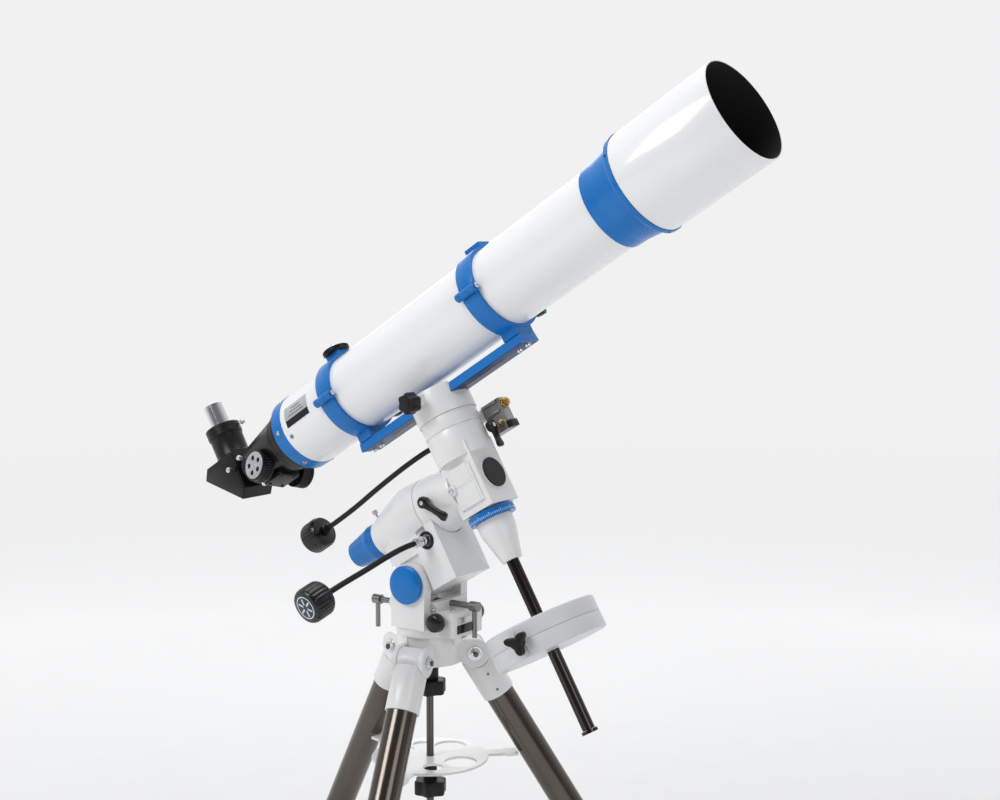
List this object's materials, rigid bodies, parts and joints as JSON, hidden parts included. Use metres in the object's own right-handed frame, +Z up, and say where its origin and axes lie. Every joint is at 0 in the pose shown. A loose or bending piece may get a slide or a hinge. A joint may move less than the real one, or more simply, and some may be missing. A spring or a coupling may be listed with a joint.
{
  "type": "refractor telescope",
  "caption": "Refractor telescope with dew shield, focuser and mirror diagonal on a German equatorial mount with a counterweight and a steel tripod with a tray.",
  "frame": {"origin": "bottom centre of the whole object's box, on the floor that the feet stand on", "axes": "+Z up, +X the way the tube points seen from above, within 3 degrees, -Y the side with the RA control"},
  "size_m": [1.129, 0.9196, 1.6402],
  "materials": {
    "tripod_hub": "white paint on cast aluminium",
    "tray": "gloss paint",
    "tray_knob": "moulded black",
    "mount_knob": "moulded black",
    "azimuth_base": "white paint on cast aluminium",
    "center_rod": "polished",
    "altitude_pivot": "gloss blue on aluminium",
    "azimuth_knob_near": "moulded black",
    "azimuth_knob_far": "moulded black",
    "altitude_bolt_south": "bright",
    "altitude_bolt_north": "bright",
    "polar_housing": "white paint on cast aluminium",
    "ra_control_shaft": "ribbed black sleeve",
    "polar_scope_cap": "gloss blue on aluminium",
    "ra_worm": "bright",
    "ra_control_knob": "moulded black",
    "ra_worm_wheel": "machined",
    "ra_shaft": "polished",
    "dec_housing": "white paint on cast aluminium",
    "dec_worm_carrier": "bare metal",
    "dec_control_shaft": "ribbed black sleeve",
    "shaft_cone": "white paint on cast aluminium",
    "counterweight_shaft": "polished",
    "ra_clutch_lever": "moulded black",
    "polar_front_cap": "moulded black",
    "dec_worm": "machined",
    "dec_control_knob": "moulded black",
    "dec_clutch_lever": "moulded black",
    "dec_setting_circle": "gloss blue on aluminium",
    "shaft_end_stop": "polished",
    "counterweight": "grey paint",
    "counterweight_knob": "moulded black",
    "dec_worm_wheel": "machined",
    "dec_shaft": "polished",
    "saddle": "white paint on cast aluminium",
    "saddle_knob": "moulded black",
    "dovetail_bar": "gloss blue on aluminium",
    "lower_rings": "gloss blue on aluminium",
    "main_tube": "white paint on cast aluminium",
    "objective_cell": "gloss blue on aluminium",
    "objective_lenses": "coated glass",
    "tail_ring": "gloss blue on aluminium",
    "focuser_body": "black anodised",
    "dew_shield": "white paint on cast aluminium",
    "upper_ring_rear": "gloss blue on aluminium",
    "upper_ring_front": "gloss blue on aluminium",
    "ring_thumb_nut": "moulded black",
    "drawtube": "black anodised",
    "diagonal_body": "moulded black",
    "eyepiece_barrel": "bright",
    "focus_knobs": "black anodised",
    "leg_a_socket": "white paint on cast aluminium",
    "leg_a_upper_tube": "polished",
    "leg_a_lower_tube": "polished",
    "leg_b_socket": "white paint on cast aluminium",
    "leg_b_upper_tube": "polished",
    "leg_b_lower_tube": "polished",
    "leg_c_socket": "white paint on cast aluminium",
    "leg_c_upper_tube": "polished",
    "leg_c_lower_tube": "polished"
  },
  "bodies": {
    "tripod": {"tripod_hub": "tripod_hub"},
    "tray": {"tray": "tray"},
    "tray_knob": {"tray_knob": "tray_knob"},
    "mount_knob": {"mount_knob": "mount_knob"},
    "azimuth": {"azimuth_base": "azimuth_base", "center_rod": "center_rod", "altitude_pivot": "altitude_pivot"},
    "azimuth_knob_near": {"azimuth_knob_near": "azimuth_knob_near"},
    "azimuth_knob_far": {"azimuth_knob_far": "azimuth_knob_far"},
    "altitude_bolt_south": {"altitude_bolt_south": "altitude_bolt_south"},
    "altitude_bolt_north": {"altitude_bolt_north": "altitude_bolt_north"},
    "altitude": {"polar_housing": "polar_housing", "ra_control_shaft": "ra_control_shaft"},
    "polar_scope_cap": {"polar_scope_cap": "polar_scope_cap"},
    "ra_worm": {"ra_worm": "ra_worm"},
    "ra_control_knob": {"ra_control_knob": "ra_control_knob"},
    "ra_wheel": {"ra_worm_wheel": "ra_worm_wheel"},
    "ra_head": {"ra_shaft": "ra_shaft", "dec_housing": "dec_housing", "dec_worm_carrier": "dec_worm_carrier", "dec_control_shaft": "dec_control_shaft", "shaft_cone": "shaft_cone", "counterweight_shaft": "counterweight_shaft"},
    "ra_clutch_lever": {"ra_clutch_lever": "ra_clutch_lever"},
    "polar_front_cap": {"polar_front_cap": "polar_front_cap"},
    "dec_worm": {"dec_worm": "dec_worm"},
    "dec_control_knob": {"dec_control_knob": "dec_control_knob"},
    "dec_clutch_lever": {"dec_clutch_lever": "dec_clutch_lever"},
    "dec_setting_circle": {"dec_setting_circle": "dec_setting_circle"},
    "shaft_end_stop": {"shaft_end_stop": "shaft_end_stop"},
    "counterweight": {"counterweight": "counterweight"},
    "counterweight_knob": {"counterweight_knob": "counterweight_knob"},
    "dec_wheel": {"dec_worm_wheel": "dec_worm_wheel"},
    "dec_head": {"dec_shaft": "dec_shaft", "saddle": "saddle"},
    "saddle_knob": {"saddle_knob": "saddle_knob"},
    "optical_tube": {"dovetail_bar": "dovetail_bar", "lower_rings": "lower_rings", "main_tube": "main_tube", "objective_cell": "objective_cell", "objective_lenses": "objective_lenses", "tail_ring": "tail_ring", "focuser_body": "focuser_body"},
    "dew_shield": {"dew_shield": "dew_shield"},
    "upper_ring_rear": {"upper_ring_rear": "upper_ring_rear"},
    "upper_ring_front": {"upper_ring_front": "upper_ring_front"},
    "ring_thumb_nut": {"ring_thumb_nut": "ring_thumb_nut"},
    "drawtube": {"drawtube": "drawtube"},
    "diagonal": {"diagonal_body": "diagonal_body"},
    "eyepiece_barrel": {"eyepiece_barrel": "eyepiece_barrel"},
    "focus_knobs": {"focus_knobs": "focus_knobs"},
    "leg_a": {"leg_a_socket": "leg_a_socket", "leg_a_upper_tube": "leg_a_upper_tube"},
    "lower_leg_a": {"leg_a_lower_tube": "leg_a_lower_tube"},
    "leg_b": {"leg_b_socket": "leg_b_socket", "leg_b_upper_tube": "leg_b_upper_tube"},
    "lower_leg_b": {"leg_b_lower_tube": "leg_b_lower_tube"},
    "leg_c": {"leg_c_socket": "leg_c_socket", "leg_c_upper_tube": "leg_c_upper_tube"},
    "lower_leg_c": {"leg_c_lower_tube": "leg_c_lower_tube"}
  },
  "joints": [
    {"name": "leg_a_fold", "type": "hinge", "parent": "tripod", "child": "leg_a", "pos_m": [0.01275, 0.11745, 0.747], "axis": [-0.7071, 0.7071, 0], "range_deg": [0, 22.5]},
    {"name": "leg_a_extend", "type": "slide", "parent": "leg_a", "child": "lower_leg_a", "axis": [0.3642, 0.3642, -0.8572], "range_m": [0, 0.3]},
    {"name": "leg_b_fold", "type": "hinge", "parent": "tripod", "child": "leg_b", "pos_m": [-0.10436, 0.08607, 0.747], "axis": [-0.2588, -0.9659, 0], "range_deg": [0, 22.5]},
    {"name": "leg_b_extend", "type": "slide", "parent": "leg_b", "child": "lower_leg_b", "axis": [-0.4975, 0.1333, -0.8572], "range_m": [0, 0.3]},
    {"name": "leg_c_fold", "type": "hinge", "parent": "tripod", "child": "leg_c", "pos_m": [-0.01863, 0.00034, 0.747], "axis": [0.9659, 0.2588, 0], "range_deg": [0, 22.5]},
    {"name": "leg_c_extend", "type": "slide", "parent": "leg_c", "child": "lower_leg_c", "axis": [0.1333, -0.4975, -0.8572], "range_m": [0, 0.3]},
    {"name": "tray_drop", "type": "slide", "parent": "tripod", "child": "tray", "axis": [0, 0, -1], "range_m": [0, 0.494]},
    {"name": "tray_knob_turn", "type": "hinge", "parent": "tray", "child": "tray_knob", "pos_m": [-0.03675, 0.06795, 0.525], "axis": [0, 0, 1], "continuous": true},
    {"name": "mount_knob_turn", "type": "hinge", "parent": "tripod", "child": "mount_knob", "pos_m": [-0.03675, 0.06795, 0.69], "axis": [0, 0, 1], "continuous": true},
    {"name": "azimuth_axis", "type": "hinge", "parent": "tripod", "child": "azimuth", "pos_m": [-0.03675, 0.06795, 0.795], "axis": [0, 0, 1], "range_deg": [-7, 7]},
    {"name": "azimuth_knob_near_travel", "type": "slide", "parent": "azimuth", "child": "azimuth_knob_near", "axis": [0, -1, 0], "range_m": [-0.0065, 0.0065]},
    {"name": "azimuth_knob_far_travel", "type": "slide", "parent": "azimuth", "child": "azimuth_knob_far", "axis": [0, -1, 0], "range_m": [-0.0065, 0.0065]},
    {"name": "altitude_axis", "type": "hinge", "parent": "azimuth", "child": "altitude", "pos_m": [-0.03675, 0.06795, 0.8655], "axis": [0, -1, 0], "range_deg": [-15, 20]},
    {"name": "altitude_bolt_south_travel", "type": "slide", "parent": "azimuth", "child": "altitude_bolt_south", "axis": [1, 0, 0], "range_m": [-0.0125, 0.0165]},
    {"name": "altitude_bolt_north_travel", "type": "slide", "parent": "azimuth", "child": "altitude_bolt_north", "axis": [1, 0, 0], "range_m": [-0.0125, 0.0165]},
    {"name": "polar_scope_cap_pull", "type": "slide", "parent": "altitude", "child": "polar_scope_cap", "axis": [-0.866, 0, -0.5], "range_m": [0, 0.05]},
    {"name": "ra_slow", "type": "hinge", "parent": "altitude", "child": "ra_wheel", "pos_m": [-0.03675, 0.06795, 0.975], "axis": [0.866, 0, 0.5], "range_deg": [-5, 5]},
    {"name": "ra_worm_turn", "type": "hinge", "parent": "altitude", "child": "ra_worm", "pos_m": [-0.00762, 0.02295, 0.93755], "axis": [0, -1, 0], "range_deg": [-720, 720]},
    {"name": "ra_control_knob_turn", "type": "hinge", "parent": "altitude", "child": "ra_control_knob", "pos_m": [-0.06465, -0.15415, 0.8731], "axis": [-0.1088, -0.941, -0.3205], "range_deg": [-720, 720]},
    {"name": "ra_axis", "type": "hinge", "parent": "ra_wheel", "child": "ra_head", "pos_m": [-0.03675, 0.06795, 0.975], "axis": [0.866, 0, 0.5], "range_deg": [-70, 70]},
    {"name": "ra_clutch_turn", "type": "hinge", "parent": "ra_head", "child": "ra_clutch_lever", "pos_m": [-0.00324, 0.00795, 0.99896], "axis": [0, -1, 0], "range_deg": [-15, 40]},
    {"name": "polar_front_cap_pull", "type": "slide", "parent": "ra_head", "child": "polar_front_cap", "axis": [0.866, 0, 0.5], "range_m": [0, 0.03]},
    {"name": "dec_clutch_turn", "type": "hinge", "parent": "ra_head", "child": "dec_clutch_lever", "pos_m": [0.06731, 0.08795, 1.11476], "axis": [0.866, 0, 0.5], "range_deg": [-60, 10]},
    {"name": "dec_setting_circle_turn", "type": "hinge", "parent": "ra_head", "child": "dec_setting_circle", "pos_m": [0.08641, 0.06795, 0.98029], "axis": [-0.5, 0, 0.866], "continuous": true},
    {"name": "shaft_end_stop_turn", "type": "hinge", "parent": "ra_head", "child": "shaft_end_stop", "pos_m": [0.26641, 0.06795, 0.66852], "axis": [-0.5, 0, 0.866], "continuous": true},
    {"name": "counterweight_slide", "type": "slide", "parent": "ra_head", "child": "counterweight", "axis": [0.5, 0, -0.866], "range_m": [-0.08, 0.12]},
    {"name": "counterweight_knob_turn", "type": "hinge", "parent": "counterweight", "child": "counterweight_knob", "pos_m": [0.20227, -0.03053, 0.81434], "axis": [0.1504, -0.9848, 0.0868], "continuous": true},
    {"name": "dec_slow", "type": "hinge", "parent": "ra_head", "child": "dec_wheel", "pos_m": [0.00941, 0.06795, 1.11365], "axis": [-0.5, 0, 0.866], "range_deg": [-5, 5]},
    {"name": "dec_worm_turn", "type": "hinge", "parent": "ra_head", "child": "dec_worm", "pos_m": [0.00941, 0.11595, 1.11365], "axis": [0.866, 0, 0.5], "range_deg": [-720, 720]},
    {"name": "dec_control_knob_turn", "type": "hinge", "parent": "ra_head", "child": "dec_control_knob", "pos_m": [-0.31275, 0.12795, 0.9095], "axis": [-0.8454, 0.0133, -0.5339], "range_deg": [-720, 720]},
    {"name": "dec_axis", "type": "hinge", "parent": "dec_wheel", "child": "dec_head", "pos_m": [0.05791, 0.06795, 1.02965], "axis": [-0.5, 0, 0.866], "continuous": true},
    {"name": "saddle_knob_turn", "type": "hinge", "parent": "dec_head", "child": "saddle_knob", "pos_m": [-0.01817, -0.00195, 1.15409], "axis": [-0.0453, -0.9986, -0.0262], "continuous": true},
    {"name": "dovetail_slide", "type": "slide", "parent": "dec_head", "child": "optical_tube", "axis": [0.8648, -0.0523, 0.4993], "range_m": [-0.04, 0.04]},
    {"name": "dew_shield_pull", "type": "slide", "parent": "optical_tube", "child": "dew_shield", "axis": [0.8648, -0.0523, 0.4993], "range_m": [0, 0.09]},
    {"name": "upper_ring_rear_open", "type": "hinge", "parent": "optical_tube", "child": "upper_ring_rear", "pos_m": [-0.20042, 0.00235, 1.15278], "axis": [0.8648, -0.0523, 0.4993], "range_deg": [0, 100]},
    {"name": "upper_ring_front_open", "type": "hinge", "parent": "optical_tube", "child": "upper_ring_front", "pos_m": [0.09967, -0.01581, 1.32604], "axis": [0.8648, -0.0523, 0.4993], "range_deg": [0, 100]},
    {"name": "ring_thumb_nut_turn", "type": "hinge", "parent": "upper_ring_rear", "child": "ring_thumb_nut", "pos_m": [-0.23807, 0.07624, 1.22573], "axis": [-0.5, 0, 0.866], "continuous": true},
    {"name": "drawtube_travel", "type": "slide", "parent": "optical_tube", "child": "drawtube", "axis": [-0.8648, 0.0523, -0.4993], "range_m": [0, 0.07]},
    {"name": "focus_knob_turn", "type": "hinge", "parent": "optical_tube", "child": "focus_knobs", "pos_m": [-0.37145, 0.07865, 1.01741], "axis": [0.1814, 0.9599, -0.2136], "range_deg": [-670, 1]},
    {"name": "diagonal_turn", "type": "hinge", "parent": "drawtube", "child": "diagonal", "pos_m": [-0.43187, 0.09045, 1.01915], "axis": [0.8648, -0.0523, 0.4993], "continuous": true},
    {"name": "eyepiece_barrel_pull", "type": "slide", "parent": "diagonal", "child": "eyepiece_barrel", "axis": [-0.5, 0, 0.866], "range_m": [0, 0.04]}
  ],
  "couplings": [
    {"joint": "leg_b_fold", "follows": "leg_a_fold", "ratio": 1},
    {"joint": "leg_c_fold", "follows": "leg_a_fold", "ratio": 1},
    {"joint": "tray_drop", "follows": "leg_a_fold", "m_per_rad": 1.253},
    {"joint": "azimuth_knob_near_travel", "follows": "azimuth_axis", "m_per_rad": 0.05},
    {"joint": "azimuth_knob_far_travel", "follows": "azimuth_axis", "m_per_rad": 0.05},
    {"joint": "altitude_bolt_south_travel", "follows": "altitude_axis", "m_per_rad": 0.0455},
    {"joint": "altitude_bolt_north_travel", "follows": "altitude_axis", "m_per_rad": 0.0335},
    {"joint": "ra_worm_turn", "follows": "ra_slow", "ratio": 144},
    {"joint": "ra_control_knob_turn", "follows": "ra_slow", "ratio": 144},
    {"joint": "dec_worm_turn", "follows": "dec_slow", "ratio": 144},
    {"joint": "dec_control_knob_turn", "follows": "dec_slow", "ratio": 144},
    {"joint": "focus_knob_turn", "follows": "drawtube_travel", "rad_per_m": -166.67}
  ]
}
